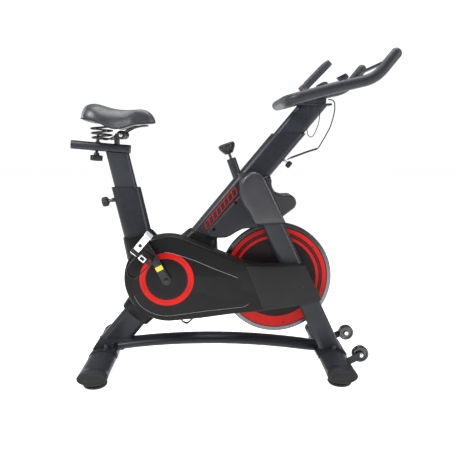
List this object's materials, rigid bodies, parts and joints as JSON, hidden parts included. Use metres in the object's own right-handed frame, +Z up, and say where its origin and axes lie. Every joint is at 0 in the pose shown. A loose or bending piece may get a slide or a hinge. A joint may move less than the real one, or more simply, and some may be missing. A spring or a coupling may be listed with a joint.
{
  "type": "exercise bike",
  "caption": "Indoor cycling bike with a heavy front flywheel, enclosed belt drive, adjustable saddle and handlebar posts and a levelled two-bar base.",
  "frame": {"origin": "on the floor under the middle of the bike's outline", "axes": "+X to the front (flywheel end), +Z up, so the rider's left is +Y"},
  "size_m": [1.1737, 0.52, 1.1993],
  "materials": {
    "painted_frame": "satin charcoal powder coat",
    "post_steel": "satin charcoal powder coat, smoother than the frame",
    "cover_plastic": "fine grained black moulding",
    "gloss_cover": "glossy black moulding",
    "red_trim": "printed red ring on a black disc",
    "black_rubber": "moulded black rubber and soft plastic",
    "wheel_plastic": "smooth glossy black",
    "polished_steel": "turned and polished steel rim",
    "dark_steel": "black plated steel",
    "pedal_alloy": "bright cast alloy",
    "saddle_skin": "charcoal leatherette over foam",
    "grip_foam": "charcoal dipped foam, slightly shiny",
    "console_plastic": "fine grained dark grey moulding",
    "button_plastic": "orange push button"
  },
  "bodies": {
    "frame": {"main_tube": "painted_frame", "seat_tube": "painted_frame", "base_beam": "painted_frame", "rear_stabilizer": "painted_frame", "front_stabilizer": "painted_frame", "bottom_bracket": "dark_steel", "fork_leg_right": "painted_frame", "fork_leg_left": "painted_frame", "crown_cover_right": "cover_plastic", "crown_cover_left": "cover_plastic", "brake_cover": "cover_plastic", "front_cover": "gloss_cover", "belt_cover": "cover_plastic", "belt_cover_back": "cover_plastic", "cover_ring": "red_trim", "crank_cover_left": "cover_plastic", "main_tube_boot": "cover_plastic", "seat_tube_boot": "cover_plastic", "rear_leg_boot": "cover_plastic", "rear_end_cap_right": "black_rubber", "rear_end_cap_left": "black_rubber", "front_end_cap_right": "black_rubber", "front_end_cap_left": "black_rubber", "brake_housing": "cover_plastic", "belt": "black_rubber"},
    "rear_foot_right": {"rear_foot_right": "black_rubber"},
    "rear_foot_left": {"rear_foot_left": "black_rubber"},
    "front_foot_right": {"front_foot_right": "black_rubber"},
    "front_foot_left": {"front_foot_left": "black_rubber"},
    "wheel_right": {"transport_wheel_right": "wheel_plastic"},
    "wheel_left": {"transport_wheel_left": "wheel_plastic"},
    "flywheel": {"flywheel": "polished_steel", "flywheel_face_right": "red_trim", "flywheel_face_left": "red_trim", "flywheel_shaft": "dark_steel"},
    "crank": {"crank_axle": "dark_steel", "crank_arm_right": "dark_steel", "crank_arm_left": "dark_steel"},
    "pedal_right": {"pedal_right": "pedal_alloy", "toe_cage_right": "black_rubber"},
    "pedal_left": {"pedal_left": "pedal_alloy", "toe_cage_left": "black_rubber"},
    "brake": {"brake_rod": "dark_steel"},
    "resistance_knob": {"brake_knob": "black_rubber"},
    "seat_column": {"seat_post": "post_steel", "slide_rail": "post_steel"},
    "seat_height_knob": {"seat_height_knob": "black_rubber"},
    "saddle_carriage": {"saddle_slider": "dark_steel"},
    "slide_knob": {"slide_knob": "black_rubber"},
    "saddle": {"saddle": "saddle_skin", "saddle_rails": "dark_steel", "saddle_clamp": "dark_steel"},
    "handlebar_column": {"handlebar_post": "post_steel", "handlebar": "grip_foam", "console": "console_plastic", "media_tray": "console_plastic", "sensor_lead": "black_rubber", "pulse_lead": "black_rubber"},
    "handlebar_knob": {"handlebar_knob": "black_rubber"},
    "console_button": {"console_button": "button_plastic"}
  },
  "joints": [
    {"name": "flywheel_spin", "type": "hinge", "parent": "frame", "child": "flywheel", "pos_m": [0.192, 0, 0.352], "axis": [0, 1, 0], "continuous": true},
    {"name": "crank_spin", "type": "hinge", "parent": "frame", "child": "crank", "pos_m": [-0.227, 0, 0.375], "axis": [0, 1, 0], "continuous": true},
    {"name": "pedal_right_spin", "type": "hinge", "parent": "crank", "child": "pedal_right", "pos_m": [-0.30681, -0.185, 0.5251], "axis": [0, 1, 0], "continuous": true},
    {"name": "pedal_left_spin", "type": "hinge", "parent": "crank", "child": "pedal_left", "pos_m": [-0.14719, 0.185, 0.2249], "axis": [0, 1, 0], "continuous": true},
    {"name": "wheel_right_spin", "type": "hinge", "parent": "frame", "child": "wheel_right", "pos_m": [0.511, -0.115, 0.075], "axis": [0, 1, 0], "continuous": true},
    {"name": "wheel_left_spin", "type": "hinge", "parent": "frame", "child": "wheel_left", "pos_m": [0.511, 0.115, 0.075], "axis": [0, 1, 0], "continuous": true},
    {"name": "rear_foot_right_turn", "type": "hinge", "parent": "frame", "child": "rear_foot_right", "pos_m": [-0.488, -0.205, 0], "axis": [0, 0, 1], "continuous": true},
    {"name": "rear_foot_left_turn", "type": "hinge", "parent": "frame", "child": "rear_foot_left", "pos_m": [-0.488, 0.205, 0], "axis": [0, 0, 1], "continuous": true},
    {"name": "front_foot_right_turn", "type": "hinge", "parent": "frame", "child": "front_foot_right", "pos_m": [0.413, -0.205, 0], "axis": [0, 0, 1], "continuous": true},
    {"name": "front_foot_left_turn", "type": "hinge", "parent": "frame", "child": "front_foot_left", "pos_m": [0.413, 0.205, 0], "axis": [0, 0, 1], "continuous": true},
    {"name": "brake_press", "type": "slide", "parent": "frame", "child": "brake", "axis": [0.3338, 0, -0.9426], "range_m": [0, 0.005], "stiffness_N_per_m": 2500, "springref_m": -0.004},
    {"name": "resistance_turn", "type": "hinge", "parent": "brake", "child": "resistance_knob", "pos_m": [0.042, 0, 0.7437], "axis": [-0.3338, 0, 0.9426], "range_deg": [-720, 720]},
    {"name": "seat_height", "type": "slide", "parent": "frame", "child": "seat_column", "axis": [-0.213, 0, 0.9771], "range_m": [-0.08, 0.08]},
    {"name": "seat_height_pull", "type": "slide", "parent": "frame", "child": "seat_height_knob", "axis": [-0.977, 0, -0.213], "range_m": [0, 0.008], "stiffness_N_per_m": 1500, "springref_m": -0.002},
    {"name": "seat_slide", "type": "slide", "parent": "seat_column", "child": "saddle_carriage", "axis": [0.9963, 0, -0.0854], "range_m": [-0.045, 0.0105]},
    {"name": "slide_knob_turn", "type": "hinge", "parent": "saddle_carriage", "child": "slide_knob", "pos_m": [-0.49486, 0, 0.82347], "axis": [0.0854, 0, 0.9963], "range_deg": [-360, 360]},
    {"name": "saddle_tilt", "type": "hinge", "parent": "saddle_carriage", "child": "saddle", "pos_m": [-0.392, 0, 0.906], "axis": [0, 1, 0], "range_deg": [-5, 5]},
    {"name": "handlebar_height", "type": "slide", "parent": "frame", "child": "handlebar_column", "axis": [0.644, 0, 0.765], "range_m": [-0.05, 0.09], "deforming": ["sensor_lead"]},
    {"name": "handlebar_pull", "type": "slide", "parent": "frame", "child": "handlebar_knob", "axis": [0.7649, 0, -0.6441], "range_m": [0, 0.008], "stiffness_N_per_m": 1500, "springref_m": -0.002},
    {"name": "console_button_press", "type": "slide", "parent": "handlebar_column", "child": "console_button", "axis": [0.7132, 0, -0.7009], "range_m": [0, 0.0014], "stiffness_N_per_m": 600, "springref_m": -0.0008}
  ],
  "couplings": [
    {"joint": "crank_spin", "follows": "flywheel_spin", "ratio": 0.2975}
  ]
}
